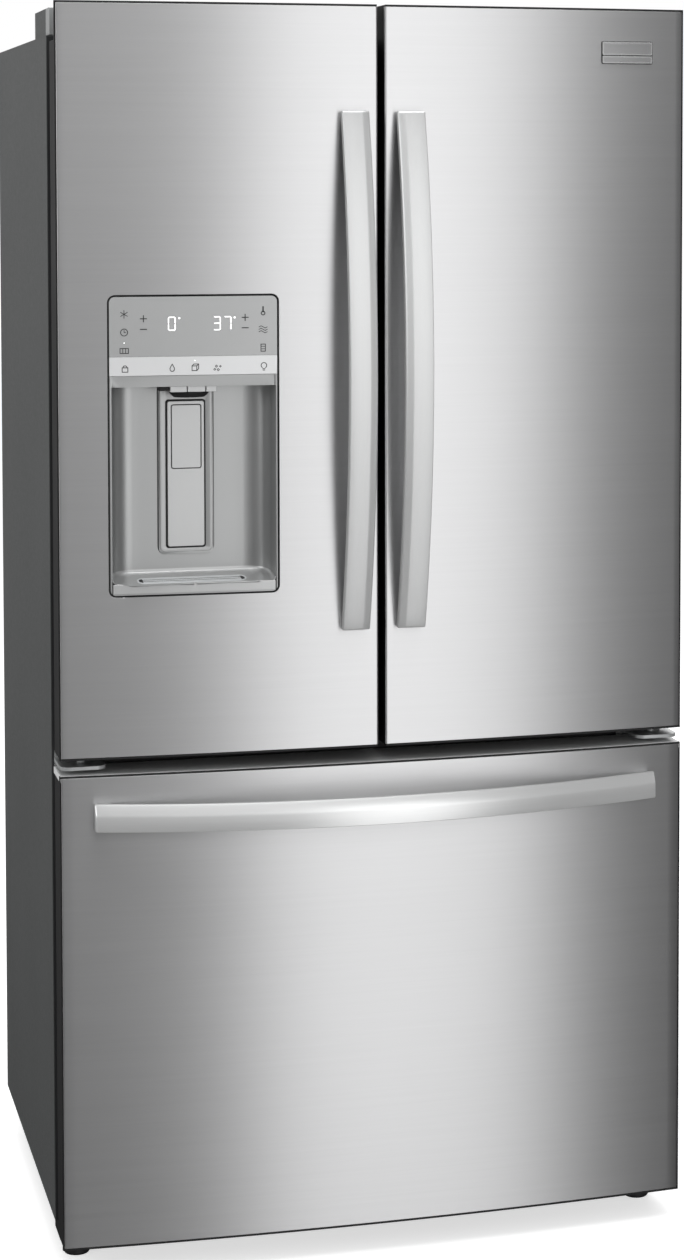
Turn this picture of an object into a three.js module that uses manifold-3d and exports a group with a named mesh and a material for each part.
// French door refrigerator with a bottom freezer drawer and a water and ice dispenser.
// Millimetres, +Z up, front towards -Y, origin on the floor under the centre of the outer box.

import * as THREE from 'three';
import { mergeVertices } from 'three/addons/utils/BufferGeometryUtils.js';
import Module from 'manifold-3d';

const wasm = await Module();
wasm.setup();

// ---- driving dimensions ---------------------------------------------------------------

const HALF_WIDTH = 454;
const GAP = 0.3; // clearance kept between touching pieces
const PAST = 1; // cutting tools run this far past the faces they open

// cabinet
const CABINET_FRONT = -220;
const CABINET_BACK = 390;
const CABINET_BOTTOM = 52;
const CABINET_TOP = 1731;
const SHEET = 1; // thickness of the steel case and rear panel
const PAN_LOW = 54; // the base pan under the machine compartment
const PAN_HIGH = 58;
const LINER = 1.2; // thickness of the plastic liners
const CAVITY_HALF = 394;
const FRESH_FOOD_BACK = 320;
const FRESH_FOOD_FLOOR = 745;
const FRESH_FOOD_CEILING = 1675;
const FREEZER_FLOOR = 112;
const FREEZER_CEILING = 690;
const FREEZER_STEP_BACK = 160; // the freezer is shallower in front of the machine compartment
const FREEZER_STEP_TOP = 345;
const FREEZER_BACK = 300;
const MACHINE_HALF = 440;
const MACHINE_FRONT = 195;
const MACHINE_TOP = 300;

// doors and drawer front share one gently bowed front surface
const FRONT_EDGE = -308; // front surface at the outer edges
const BOW = 17; // how much further forward it is at the centre
const PANEL_BACK = -235;
const DOOR_BOTTOM = 729;
const DOOR_TOP = 1775;
const DOOR_GAP_HALF = 5;
const DRAWER_BOTTOM = 40;
const DRAWER_TOP = 707.5;
const SKIN = 1.1;
const SKIN_RETURN = 6; // how far the steel skin wraps round the panel's sides
const SKIN_CLEARANCE = 1.5; // from the skin's outside to the foam body behind it

// door hinges
const PIN_X = 420;
const PIN_Y = -272;
const PIN_RADIUS = 6;
const PIN_HOLE_RADIUS = 6.4;
const NOTCH_FLOOR = 1722; // the top hinge arm swings in a notch in the door's top

// handles
const HANDLE_FRONT = -390;
const HANDLE_THICKNESS = 14;
const HANDLE_INNER_X = 20;
const HANDLE_OUTER_X = 60;
const HANDLE_BOTTOM = 899;
const HANDLE_TOP = 1626;
const DRAWER_HANDLE_HALF = 408;
const DRAWER_HANDLE_LOW = 632;
const DRAWER_HANDLE_HIGH = 670;

// dispenser, in the left door
const DISPENSER_LEFT = -382.3;
const DISPENSER_RIGHT = -149.2;
const DISPENSER_LOW = 956.7;
const DISPENSER_HIGH = 1369.8;
const DISPENSER_CORNER = 8;
const DISPENSER_SEAM = 2.2;
const DISPENSER_BACK = -246;
const PANEL_LOW = 1261;
const NICHE_LEFT = -380;
const NICHE_RIGHT = -151;
const NICHE_LOW = 977;
const NICHE_HIGH = 1245;
const NICHE_BACK = -262;
const NICHE_SIDE_DEPTH = 36;
const PADDLE_LEFT = -296.4;
const PADDLE_RIGHT = -241.8;
const PADDLE_LOW = 1015.4;
const PADDLE_HIGH = 1222.4;
const PADDLE_BACK = -266;
const BOSS_LEFT = -307; // the raised surround of the paddle, on the niche's back wall
const BOSS_RIGHT = -230;
const BOSS_LOW = 1004.6;
const TRAY_LOW = 959.5;
const TRAY_HIGH = 976.5;
const TRAY_BACK = -264;

// interior fittings
const BIN_BACK = -234.5;
const BIN_FRONT = -125;
const BIN_INNER_X = 62;
const BIN_OUTER_X = 372;
const BIN_HEIGHT = 100;
const BIN_LEVELS = { lower: 800, upper: 1480 };
const RAIL_FRONT = -212; // the drawer's telescopic rails
const RAIL_BACK = 150;
const SHELF_FRONT = -60;
const SHELF_BACK = 312;
const SHELF_THICKNESS = 12;
const SHELF_HALF = 391.8;
const CRISPER_COVER_Z = 908;
const LOWER_SHELF_Z = 1120;
const UPPER_SHELF_Z = 1385;
const TUB_WALL = 3;

// feet and rollers
const FOOT_X = 422;
const FOOT_Y = -209;
const ROLLER_X = 380;
const ROLLER_Y = 330;
const ROLLER_RADIUS = 20;

// ---- finishes -------------------------------------------------------------------------

const finishes = {
  stainless: { color: 0xb4b5b6, roughness: 0.32, metalness: 1 },
  satin: { color: 0xc2c3c4, roughness: 0.28, metalness: 1 },
  charcoal: { color: 0x55575a, roughness: 0.6, metalness: 0.3 },
  black: { color: 0x161718, roughness: 0.55, metalness: 0 },
  white: { color: 0xe9ebec, roughness: 0.4, metalness: 0 },
  clear: { color: 0xcfe0e6, roughness: 0.15, metalness: 0 },
  grey: { color: 0x9a9da0, roughness: 0.4, metalness: 0.2 },
  rubber: { color: 0x2b2c2e, roughness: 0.8, metalness: 0 },
  zinc: { color: 0xa9abac, roughness: 0.45, metalness: 1 },
};

const refrigerator = new THREE.Group();

function add(name, geometry, finish) {
  const mesh = new THREE.Mesh(geometry, new THREE.MeshStandardMaterial(finishes[finish]));
  mesh.name = name;
  refrigerator.add(mesh);
}

// ---- solids ---------------------------------------------------------------------------

function toSolid(geometry) {
  const bare = geometry.clone();
  bare.deleteAttribute('normal');
  bare.deleteAttribute('uv');
  const merged = mergeVertices(bare, 1e-4);
  const vertProperties = new Float32Array(merged.attributes.position.array);
  const triVerts = new Uint32Array(merged.index.array);
  return new wasm.Manifold(new wasm.Mesh({ numProp: 3, vertProperties, triVerts }));
}

function toGeometry(solid) {
  const mesh = solid.getMesh();
  const geometry = new THREE.BufferGeometry();
  geometry.setAttribute('position', new THREE.BufferAttribute(mesh.vertProperties, 3));
  geometry.setIndex(new THREE.BufferAttribute(mesh.triVerts, 1));
  return geometry;
}

function cut(geometry, ...tools) {
  const remove = (solid, tool) => solid.subtract(toSolid(tool));
  return toGeometry(tools.reduce(remove, toSolid(geometry)));
}

function join(geometry, ...others) {
  const unite = (solid, other) => solid.add(toSolid(other));
  return toGeometry(others.reduce(unite, toSolid(geometry)));
}

function overlap(geometry, other) {
  return toGeometry(toSolid(geometry).intersect(toSolid(other)));
}

function box([x0, x1], [y0, y1], [z0, z1]) {
  const geometry = new THREE.BoxGeometry(x1 - x0, y1 - y0, z1 - z0);
  return geometry.translate((x0 + x1) / 2, (y0 + y1) / 2, (z0 + z1) / 2);
}

// a span of x on one side of the centre, given as distances from it, smaller x first
function onSide(side, [near, far]) {
  return side < 0 ? [-far, -near] : [near, far];
}

function shapeOf(points) {
  return new THREE.Shape(points.map(([a, b]) => new THREE.Vector2(a, b)));
}

function extrude(shape, depth) {
  return new THREE.ExtrudeGeometry(shape, { depth, bevelEnabled: false, curveSegments: 6 });
}

// a shape in X and Y, standing between two heights
function standing(shape, [z0, z1]) {
  return extrude(shape, z1 - z0).translate(0, 0, z0);
}

// a shape in X and Z, running from front to back
function facing(shape, [y0, y1]) {
  return extrude(shape, y1 - y0).rotateX(Math.PI / 2).translate(0, y1, 0);
}

// a shape in Y and Z, running from left to right
function sideways(shape, [x0, x1]) {
  const axes = new THREE.Matrix4().makeBasis(
    new THREE.Vector3(0, 1, 0),
    new THREE.Vector3(0, 0, 1),
    new THREE.Vector3(1, 0, 0),
  );
  return extrude(shape, x1 - x0).applyMatrix4(axes).translate(x0, 0, 0);
}

function roundedRectangle([x0, x1], [y0, y1], radius) {
  const shape = new THREE.Shape();
  shape.moveTo(x0 + radius, y0);
  shape.lineTo(x1 - radius, y0);
  shape.absarc(x1 - radius, y0 + radius, radius, -Math.PI / 2, 0);
  shape.lineTo(x1, y1 - radius);
  shape.absarc(x1 - radius, y1 - radius, radius, 0, Math.PI / 2);
  shape.lineTo(x0 + radius, y1);
  shape.absarc(x0 + radius, y1 - radius, radius, Math.PI / 2, Math.PI);
  shape.lineTo(x0, y0 + radius);
  shape.absarc(x0 + radius, y0 + radius, radius, Math.PI, 1.5 * Math.PI);
  return shape;
}

function uprightCylinder(x, y, radius, [z0, z1], sides = 24) {
  const geometry = new THREE.CylinderGeometry(radius, radius, z1 - z0, sides);
  return geometry.rotateX(Math.PI / 2).translate(x, y, (z0 + z1) / 2);
}

function crossCylinder([x0, x1], y, z, radius, sides = 24) {
  const geometry = new THREE.CylinderGeometry(radius, radius, x1 - x0, sides);
  return geometry.rotateZ(Math.PI / 2).translate((x0 + x1) / 2, y, z);
}

// an open-topped box with walls of one thickness
function tray([x0, x1], [y0, y1], [z0, z1], wall) {
  const inside = box([x0 + wall, x1 - wall], [y0 + wall, y1 - wall], [z0 + wall, z1 + wall]);
  return cut(box([x0, x1], [y0, y1], [z0, z1]), inside);
}

// ---- the bowed front ------------------------------------------------------------------

function frontAt(x) {
  return FRONT_EDGE - BOW * (1 - (x / HALF_WIDTH) ** 2);
}

function bowedLine([x0, x1], inset) {
  const steps = Math.max(4, Math.round((x1 - x0) / 40));
  return Array.from({ length: steps + 1 }, (_, i) => {
    const x = x0 + ((x1 - x0) * i) / steps;
    return [x, frontAt(x) + inset];
  });
}

function bowedSlab([x0, x1], [z0, z1], inset, back) {
  return standing(shapeOf([...bowedLine([x0, x1], inset), [x1, back], [x0, back]]), [z0, z1]);
}

function steelSkin([x0, x1], heights) {
  const innerLine = bowedLine([x0 + SKIN, x1 - SKIN], SKIN).reverse();
  const rightReturn = frontAt(x1) + SKIN_RETURN;
  const leftReturn = frontAt(x0) + SKIN_RETURN;
  const outline = [
    ...bowedLine([x0, x1], 0),
    [x1, rightReturn],
    [x1 - SKIN, rightReturn],
    ...innerLine,
    [x0 + SKIN, leftReturn],
    [x0, leftReturn],
  ];
  return standing(shapeOf(outline), heights);
}

// the foam-filled body behind the skin, its rear corners cut back so that it clears the cabinet
function foamPanel([x0, x1], heights) {
  const chamfer = 8;
  const [left, right] = [x0 + SKIN_CLEARANCE, x1 - SKIN_CLEARANCE];
  const outline = [
    ...bowedLine([left, right], SKIN_CLEARANCE),
    [right, PANEL_BACK - chamfer],
    [right - chamfer, PANEL_BACK],
    [left + chamfer, PANEL_BACK],
    [left, PANEL_BACK - chamfer],
  ];
  return standing(shapeOf(outline), heights);
}

function gasketRing([x0, x1], [z0, z1]) {
  const width = 12;
  const [front, back] = [PANEL_BACK + GAP, CABINET_FRONT - GAP];
  const hole = box([x0 + width, x1 - width], [front - PAST, back + PAST], [z0 + width, z1 - width]);
  return cut(box([x0, x1], [front, back], [z0, z1]), hole);
}

// ---- cabinet --------------------------------------------------------------------------

// the freezer's outline from the side; it steps forward over the machine compartment
function freezerOutline(inset, front) {
  return shapeOf([
    [front, FREEZER_FLOOR + inset],
    [FREEZER_STEP_BACK - inset, FREEZER_FLOOR + inset],
    [FREEZER_STEP_BACK - inset, FREEZER_STEP_TOP + inset],
    [FREEZER_BACK - inset, FREEZER_STEP_TOP + inset],
    [FREEZER_BACK - inset, FREEZER_CEILING - inset],
    [front, FREEZER_CEILING - inset],
  ]);
}

function freezerVolume(inset, front) {
  const half = CAVITY_HALF - inset;
  return sideways(freezerOutline(inset, front), [-half, half]);
}

function freshFoodVolume(inset, front) {
  const half = CAVITY_HALF - inset;
  const heights = [FRESH_FOOD_FLOOR + inset, FRESH_FOOD_CEILING - inset];
  return box([-half, half], [front, FRESH_FOOD_BACK - inset], heights);
}

function addCabinet() {
  const inset = SHEET + GAP;
  const half = HALF_WIDTH - inset;
  const foam = box(
    [-half, half],
    [CABINET_FRONT, CABINET_BACK - inset],
    [CABINET_BOTTOM, CABINET_TOP - inset],
  );
  const machineRoom = box(
    [-MACHINE_HALF, MACHINE_HALF],
    [MACHINE_FRONT, CABINET_BACK + PAST],
    [CABINET_BOTTOM - PAST, MACHINE_TOP],
  );
  const openFront = CABINET_FRONT - PAST;
  const cavities = [freshFoodVolume(0, openFront), freezerVolume(0, openFront)];
  add('cabinet_core', cut(foam, ...cavities, machineRoom), 'black');

  const caseOutline = shapeOf([
    [-HALF_WIDTH, CABINET_BOTTOM],
    [-HALF_WIDTH + SHEET, CABINET_BOTTOM],
    [-HALF_WIDTH + SHEET, CABINET_TOP - SHEET],
    [HALF_WIDTH - SHEET, CABINET_TOP - SHEET],
    [HALF_WIDTH - SHEET, CABINET_BOTTOM],
    [HALF_WIDTH, CABINET_BOTTOM],
    [HALF_WIDTH, CABINET_TOP],
    [-HALF_WIDTH, CABINET_TOP],
  ]);
  add('outer_case', facing(caseOutline, [CABINET_FRONT, CABINET_BACK]), 'charcoal');
  add(
    'rear_panel',
    box([-half, half], [CABINET_BACK - SHEET, CABINET_BACK], [MACHINE_TOP + 2, CABINET_TOP - inset]),
    'zinc',
  );

  const liner = (volume) => cut(volume(GAP, CABINET_FRONT), volume(GAP + LINER, openFront));
  add('fresh_food_liner', liner(freshFoodVolume), 'white');
  add('freezer_liner', liner(freezerVolume), 'white');
}

// ---- machine compartment, base and feet -----------------------------------------------

// a tab under the base pan with a hole for one end of a roller's axle
function axleEar(x) {
  const thickness = 4;
  const halfLength = 11;
  const holeRadius = 4.4;
  const [x0, x1] = [x - thickness / 2, x + thickness / 2];
  const heights = [ROLLER_RADIUS - 8, PAN_LOW + 1];
  const tab = box([x0, x1], [ROLLER_Y - halfLength, ROLLER_Y + halfLength], heights);
  return cut(tab, crossCylinder([x0 - PAST, x1 + PAST], ROLLER_Y, ROLLER_RADIUS, holeRadius));
}

function addBase() {
  const panHalf = MACHINE_HALF - 2;
  const earOffset = 14;
  const pan = box([-panHalf, panHalf], [MACHINE_FRONT + 2, CABINET_BACK - 6], [PAN_LOW, PAN_HIGH]);
  const ears = [-ROLLER_X, ROLLER_X].flatMap((x) => [axleEar(x - earOffset), axleEar(x + earOffset)]);
  add('base_pan', join(pan, ...ears), 'zinc');

  const shaftHoleRadius = 5.6;
  const rail = box([-448, 448], [-231, -172], [26, CABINET_BOTTOM - GAP]);
  const shaftHole = (side) => uprightCylinder(side * FOOT_X, FOOT_Y, shaftHoleRadius, [20, 60]);
  add('front_base_rail', cut(rail, shaftHole(-1), shaftHole(1)), 'black');
}

// the vented plate that closes the machine compartment at the back
function addMachineCover() {
  const [front, back] = [386, 388];
  const slotsAcross = 14;
  const slotPitch = 60;
  const halfSlot = 22;
  const slotHeight = 12;
  const slotRow = (z) => Array.from({ length: slotsAcross }, (_, i) => {
    const x = (i - (slotsAcross - 1) / 2) * slotPitch;
    return box([x - halfSlot, x + halfSlot], [front - PAST, back + PAST], [z, z + slotHeight]);
  });
  const cover = box([-436, 436], [front, back], [62, MACHINE_TOP - 4]);
  add('machine_cover', cut(cover, ...slotRow(110), ...slotRow(140), ...slotRow(170)), 'zinc');
}

function addFeetAndRollers() {
  const footProfile = [
    [0, 0],
    [17, 0],
    [19, 3],
    [19, 12],
    [16, 15],
    [5, 16],
    [5, 49],
    [0, 49],
  ];
  const rollerProfile = [
    [0, -20],
    [4, -20],
    [4, -10],
    [18, -10],
    [ROLLER_RADIUS, -8],
    [ROLLER_RADIUS, 8],
    [18, 10],
    [4, 10],
    [4, 20],
    [0, 20],
  ];
  for (const [word, side] of [['left', -1], ['right', 1]]) {
    const foot = lathe(footProfile, 28).rotateX(Math.PI / 2);
    add(`front_foot_${word}`, foot.translate(side * FOOT_X, FOOT_Y, 0), 'black');
    const roller = lathe(rollerProfile, 28).rotateZ(Math.PI / 2);
    add(`rear_roller_${word}`, roller.translate(side * ROLLER_X, ROLLER_Y, ROLLER_RADIUS), 'rubber');
  }
}

function lathe(profile, segments) {
  return new THREE.LatheGeometry(profile.map(([r, h]) => new THREE.Vector2(r, h)), segments);
}

// a block with upright slots in its front, as a finned heat exchanger
function finned([x0, x1], [y0, y1], [z0, z1], slots) {
  const pitch = (x1 - x0) / slots;
  const slotDepth = 32;
  const footHeight = 8;
  const tools = Array.from({ length: slots - 1 }, (_, i) => {
    const x = x0 + (i + 1) * pitch;
    return box([x - pitch / 4, x + pitch / 4], [y0 - PAST, y0 + slotDepth], [z0 + footHeight, z1 + PAST]);
  });
  return cut(box([x0, x1], [y0, y1], [z0, z1]), ...tools);
}

// a hub with slanted blades, turning about Y
function fan(radius, hubRadius, depth, blades) {
  const hub = new THREE.CylinderGeometry(hubRadius, hubRadius, depth, 20);
  const parts = Array.from({ length: blades }, (_, i) => {
    const blade = new THREE.BoxGeometry(radius - hubRadius + 4, 2.5, hubRadius * 1.3);
    blade.rotateX(0.55).translate((radius + hubRadius - 4) / 2, 0, 0);
    return blade.rotateY((2 * Math.PI * i) / blades);
  });
  return join(hub, ...parts);
}

function addMachinery() {
  const shell = [
    [0, 0],
    [72, 0],
    [72, 40],
    [78, 50],
    [78, 90],
    [70, 122],
    [50, 142],
    [24, 150],
    [0, 151],
  ];
  const compressor = lathe(shell, 28).rotateX(Math.PI / 2).translate(250, 292, PAN_HIGH + GAP);
  add('compressor', compressor, 'black');
  add('condenser', finned([-250, -30], [255, 355], [PAN_HIGH + GAP, 190], 11), 'black');
  const condenserFan = fan(66, 20, 24, 5).rotateZ(Math.PI / 2).translate(60, 295, 145);
  add('condenser_fan', condenserFan, 'grey');

  add('evaporator', finned([-260, 260], [246, 292], [362, 550], 16), 'zinc');
  add('evaporator_fan', fan(46, 15, 20, 5).translate(0, 270, 620), 'grey');
  const grilleSlots = [560, 575, 660, 672].map((z) => box([-150, 150], [225, 245], [z, z + 7]));
  add('evaporator_cover', cut(box([-388, 388], [232, 236], [350, 686]), ...grilleSlots), 'white');
}

// ---- hinges ---------------------------------------------------------------------------

function addTopHinge(word, side) {
  const plateZ = [CABINET_TOP + 0.4, CABINET_TOP + 5.4];
  const armOuter = PIN_X - 4;
  const outline = [
    [345, -82],
    [345, -205],
    [378, -222],
    [396, -278],
    [armOuter, -266],
    [armOuter, -217],
    [444, -205],
    [444, -82],
  ];
  const plate = standing(shapeOf(outline.map(([x, y]) => [side * x, y])), plateZ);
  const boss = uprightCylinder(side * PIN_X, PIN_Y, 10, plateZ);
  const pin = uprightCylinder(side * PIN_X, PIN_Y, PIN_RADIUS, [NOTCH_FLOOR - 24, plateZ[1] - 1]);
  const web = box(onSide(side, [PIN_X - 16, PIN_X]), [-279, -265], plateZ);
  add(`top_hinge_${word}`, join(plate, web, boss, pin), 'zinc');
}

function addHingeCover(word, side) {
  const heights = [CABINET_TOP + 0.4, 1770];
  const wall = 2.5;
  const outline = (inset) => [
    [335 + inset, -62 - inset],
    [335 + inset, -228 + inset],
    [345 + inset, -242 + inset],
    [410 - inset, -242 + inset],
    [412 - inset, -219 + inset],
    [450 - inset, -219 + inset],
    [450 - inset, -62 - inset],
  ];
  const plan = (inset) => shapeOf(outline(inset).map(([x, y]) => [side * x, y]));
  const inside = standing(plan(wall), [heights[0] - 1, heights[1] - wall]);
  const armSlot = box(onSide(side, [338, 446]), [-246, -214], [heights[0] - 1, CABINET_TOP + 6]);
  add(`hinge_cover_${word}`, cut(standing(plan(0), heights), inside, armSlot), 'charcoal');
}

function addMiddleHinge(word, side) {
  const plateZ = [714, 719];
  const back = CABINET_FRONT - GAP;
  const plate = standing(roundedRectangle(onSide(side, [388, 452]), [-304, back], 14), plateZ);
  const flange = box(onSide(side, [384, 450]), [CABINET_FRONT - 3, back], [704, 727]);
  const pin = uprightCylinder(side * PIN_X, PIN_Y, PIN_RADIUS, [plateZ[0] + 1, 748]);
  add(`middle_hinge_${word}`, join(plate, flange, pin), 'zinc');
}

// ---- doors ----------------------------------------------------------------------------

function doorSpan(side) {
  return onSide(side, [DOOR_GAP_HALF, HALF_WIDTH]);
}

function doorBody(side) {
  const pinHole = (heights) => uprightCylinder(side * PIN_X, PIN_Y, PIN_HOLE_RADIUS, heights);
  const notch = box(
    onSide(side, [330, HALF_WIDTH + PAST]),
    [-296, PANEL_BACK + PAST],
    [NOTCH_FLOOR, DOOR_TOP + PAST],
  );
  return cut(
    foamPanel(doorSpan(side), [DOOR_BOTTOM, DOOR_TOP]),
    notch,
    pinHole([DOOR_BOTTOM - PAST, 752]),
    pinHole([NOTCH_FLOOR - 28, NOTCH_FLOOR + PAST]),
  );
}

function doorGasket(side) {
  const besideMullion = 29;
  const innerEdge = side < 0 ? besideMullion : 9;
  return gasketRing(onSide(side, [innerEdge, 418]), [735, 1725]);
}

// a bar bowed away from the door, standing on a foot at each end
function doorHandle(side) {
  const middle = (HANDLE_BOTTOM + HANDLE_TOP) / 2;
  const half = (HANDLE_TOP - HANDLE_BOTTOM) / 2;
  const endDrop = 49;
  const footHeight = 26;
  const footY = frontAt(0) - GAP;
  const front = (z) => HANDLE_FRONT + endDrop * ((z - middle) / half) ** 2;
  const steps = 20;
  const outer = Array.from({ length: steps + 1 }, (_, i) => {
    const z = HANDLE_BOTTOM + ((HANDLE_TOP - HANDLE_BOTTOM) * i) / steps;
    return [front(z), z];
  });
  const innerTop = HANDLE_TOP - footHeight;
  const innerBottom = HANDLE_BOTTOM + footHeight;
  const inner = Array.from({ length: steps + 1 }, (_, i) => {
    const z = innerTop - ((innerTop - innerBottom) * i) / steps;
    return [front(z) + HANDLE_THICKNESS, z];
  });
  const outline = [
    ...outer,
    [footY, HANDLE_TOP],
    [footY, innerTop],
    ...inner,
    [footY, innerBottom],
    [footY, HANDLE_BOTTOM],
  ];
  return sideways(shapeOf(outline), onSide(side, [HANDLE_INNER_X, HANDLE_OUTER_X]));
}

function addDoorBins(word, side) {
  const across = onSide(side, [BIN_INNER_X, BIN_OUTER_X]);
  for (const [level, z] of Object.entries(BIN_LEVELS)) {
    const bin = tray(across, [BIN_BACK, BIN_FRONT], [z, z + BIN_HEIGHT], TUB_WALL);
    add(`${word}_bin_${level}`, bin, 'clear');
  }
}

function dispenserFace(margin) {
  return roundedRectangle(
    [DISPENSER_LEFT - margin, DISPENSER_RIGHT + margin],
    [DISPENSER_LOW - margin, DISPENSER_HIGH + margin],
    DISPENSER_CORNER + margin,
  );
}

function addDoors() {
  const throughSkin = facing(dispenserFace(DISPENSER_SEAM), [-340, -300]);
  const pocket = facing(dispenserFace(1), [-340, DISPENSER_BACK + GAP]);
  for (const [word, side] of [['left', -1], ['right', 1]]) {
    const body = doorBody(side);
    const skin = steelSkin(doorSpan(side), [DOOR_BOTTOM, DOOR_TOP]);
    const isLeft = side < 0;
    add(`${word}_door_body`, isLeft ? cut(body, pocket) : body, 'black');
    add(`${word}_door_skin`, isLeft ? cut(skin, throughSkin) : skin, 'stainless');
    add(`${word}_door_gasket`, doorGasket(side), 'rubber');
    add(`${word}_door_handle`, doorHandle(side), 'satin');
    addDoorBins(word, side);
    addTopHinge(word, side);
    addHingeCover(word, side);
    addMiddleHinge(word, side);
  }
}

// ---- dispenser ------------------------------------------------------------------------

function nicheVolume() {
  const plan = new THREE.Shape();
  const past = -340;
  const bend = NICHE_BACK - NICHE_SIDE_DEPTH;
  plan.moveTo(NICHE_LEFT, past);
  plan.lineTo(NICHE_LEFT, bend);
  plan.quadraticCurveTo(NICHE_LEFT, NICHE_BACK, NICHE_LEFT + NICHE_SIDE_DEPTH, NICHE_BACK);
  plan.lineTo(NICHE_RIGHT - NICHE_SIDE_DEPTH, NICHE_BACK);
  plan.quadraticCurveTo(NICHE_RIGHT, NICHE_BACK, NICHE_RIGHT, bend);
  plan.lineTo(NICHE_RIGHT, past);
  return standing(plan, [NICHE_LOW, NICHE_HIGH]);
}

function addDispenser() {
  const bossOutline = roundedRectangle([BOSS_LEFT, BOSS_RIGHT], [BOSS_LOW, NICHE_HIGH + 20], 10);
  const boss = facing(bossOutline, [NICHE_BACK - 4, NICHE_BACK + 2]);
  const paddlePocket = box(
    [PADDLE_LEFT - 2, PADDLE_RIGHT + 2],
    [-280, -252],
    [PADDLE_LOW - 2, PADDLE_HIGH + 2],
  );
  const face = [DISPENSER_LEFT, DISPENSER_RIGHT];
  const facePrism = facing(dispenserFace(0), [-340, -240]);
  const panelBack = -309;
  const panelPocket = bowedSlab(
    [DISPENSER_LEFT - PAST, DISPENSER_RIGHT + PAST],
    [PANEL_LOW - GAP, DISPENSER_HIGH + PAST],
    -20,
    panelBack + 0.5,
  );
  const trayPocket = box([NICHE_LEFT, NICHE_RIGHT], [-340, TRAY_BACK + 1], [959, NICHE_LOW + 1]);
  const block = overlap(bowedSlab(face, [DISPENSER_LOW, DISPENSER_HIGH], 0, DISPENSER_BACK), facePrism);
  add(
    'dispenser_housing',
    cut(block, cut(nicheVolume(), boss), paddlePocket, panelPocket, trayPocket),
    'grey',
  );
  const panelSlab = bowedSlab(face, [PANEL_LOW, DISPENSER_HIGH], 0, panelBack);
  add('control_panel', overlap(panelSlab, facePrism), 'grey');

  const nozzle = box([-312, -230], [-308, -276], [1232, NICHE_HIGH - GAP]);
  const chute = new THREE.CylinderGeometry(28, 22, 8, 24).scale(1, 1, 0.5).rotateX(Math.PI / 2);
  add('dispenser_chute', join(nozzle, chute.translate(-268, -292, 1229)), 'black');

  const plateOutline = roundedRectangle([PADDLE_LEFT, PADDLE_RIGHT], [PADDLE_LOW, PADDLE_HIGH], 6);
  const plate = facing(plateOutline, [PADDLE_BACK - 4, PADDLE_BACK]);
  const padOutline = roundedRectangle([-290, -247], [1126, 1216.5], 4);
  const pad = facing(padOutline, [PADDLE_BACK - 5.5, PADDLE_BACK - 3]);
  add('dispenser_paddle', join(plate, pad), 'grey');

  const drainSlots = Array.from({ length: 7 }, (_, i) => {
    const y = -302 + i * 5;
    return box([-350, -180], [y, y + 2.5], [TRAY_HIGH - 4.5, TRAY_HIGH + PAST]);
  });
  const trayBody = bowedSlab([NICHE_LEFT + 1, NICHE_RIGHT - 1], [TRAY_LOW, TRAY_HIGH], 0.5, TRAY_BACK);
  add('drip_tray', cut(trayBody, ...drainSlots), 'grey');
}

// the hinged seal between the doors, folded back against the left door's free edge
function addMullion() {
  add('mullion', box([-26, -10], [-219.5, -169.5], [762, 1658]), 'grey');
}

// ---- freezer drawer -------------------------------------------------------------------

function drawerHandle() {
  const endDrop = 58;
  const footWidth = 28;
  const front = (x) => HANDLE_FRONT + endDrop * (x / DRAWER_HANDLE_HALF) ** 2;
  const steps = 24;
  const outer = Array.from({ length: steps + 1 }, (_, i) => {
    const x = -DRAWER_HANDLE_HALF + (2 * DRAWER_HANDLE_HALF * i) / steps;
    return [x, front(x)];
  });
  const innerHalf = DRAWER_HANDLE_HALF - footWidth;
  const inner = Array.from({ length: steps + 1 }, (_, i) => {
    const x = innerHalf - (2 * innerHalf * i) / steps;
    return [x, front(x) + HANDLE_THICKNESS];
  });
  const outline = [
    ...outer,
    [DRAWER_HANDLE_HALF, frontAt(DRAWER_HANDLE_HALF) - GAP],
    [innerHalf, frontAt(innerHalf) - GAP],
    ...inner,
    [-innerHalf, frontAt(innerHalf) - GAP],
    [-DRAWER_HANDLE_HALF, frontAt(DRAWER_HANDLE_HALF) - GAP],
  ];
  return standing(shapeOf(outline), [DRAWER_HANDLE_LOW, DRAWER_HANDLE_HIGH]);
}

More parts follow.
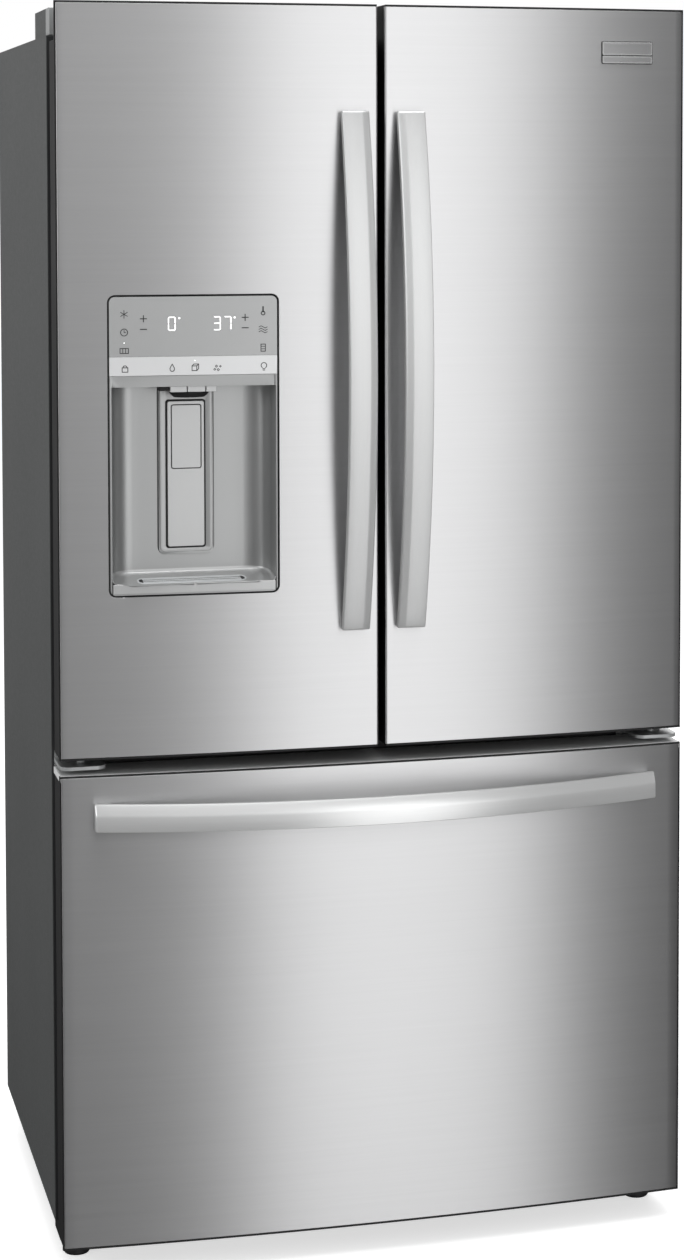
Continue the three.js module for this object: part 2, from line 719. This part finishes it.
function addDrawer() {
  const span = [-HALF_WIDTH, HALF_WIDTH];
  const heights = [DRAWER_BOTTOM, DRAWER_TOP];
  add('drawer_body', foamPanel(span, heights), 'black');
  add('drawer_skin', steelSkin(span, heights), 'stainless');
  add('drawer_gasket', gasketRing([-418, 418], [85, 698]), 'rubber');
  add('drawer_handle', drawerHandle(), 'satin');
  add('drawer_tub', tray([-350, 350], [-232, 130], [125, 470], TUB_WALL), 'white');

  const frameHeights = [306, 334];
  const frameBack = RAIL_BACK - 5;
  const frameFront = PANEL_BACK + 0.5;
  const innerRail = (side) => box(onSide(side, [354, 364]), [frameFront, frameBack], frameHeights);
  const rearBar = box([-364, 364], [frameBack - 10, frameBack], frameHeights);
  add('drawer_frame', join(rearBar, innerRail(-1), innerRail(1)), 'zinc');
  for (const [word, side] of [['left', -1], ['right', 1]]) {
    const middleRail = box(onSide(side, [366, 376]), [RAIL_FRONT, RAIL_BACK - 2], [302, 338]);
    const outerRail = box(onSide(side, [378, 391.5]), [RAIL_FRONT, RAIL_BACK], [296, 343]);
    add(`middle_rail_${word}`, middleRail, 'zinc');
    add(`outer_rail_${word}`, outerRail, 'zinc');
  }
  add('freezer_basket', tray([-345, 345], [-215, 130], [480, 640], TUB_WALL), 'clear');
}

// ---- shelves and crispers -------------------------------------------------------------

function shelf([x0, x1], z) {
  return box([x0, x1], [SHELF_FRONT, SHELF_BACK], [z, z + SHELF_THICKNESS]);
}

function addInterior() {
  const middleGap = 4;
  add('upper_shelf_left', shelf([-SHELF_HALF, -middleGap], UPPER_SHELF_Z), 'clear');
  add('upper_shelf_right', shelf([middleGap, SHELF_HALF], UPPER_SHELF_Z), 'clear');
  add('lower_shelf', shelf([-SHELF_HALF, SHELF_HALF], LOWER_SHELF_Z), 'clear');
  add('crisper_cover', shelf([-SHELF_HALF, SHELF_HALF], CRISPER_COVER_Z), 'clear');
  for (const [word, side] of [['left', -1], ['right', 1]]) {
    add(`crisper_${word}`, tray(onSide(side, [8, 380]), [-45, 300], [752, 900], TUB_WALL), 'clear');
  }
  add('ice_maker', box([-SHELF_HALF, -150], [-90, 310], [1455, 1672]), 'white');
}

addCabinet();
addBase();
addMachineCover();
addFeetAndRollers();
addMachinery();
addDoors();
addDispenser();
addMullion();
addDrawer();
addInterior();

export default refrigerator;
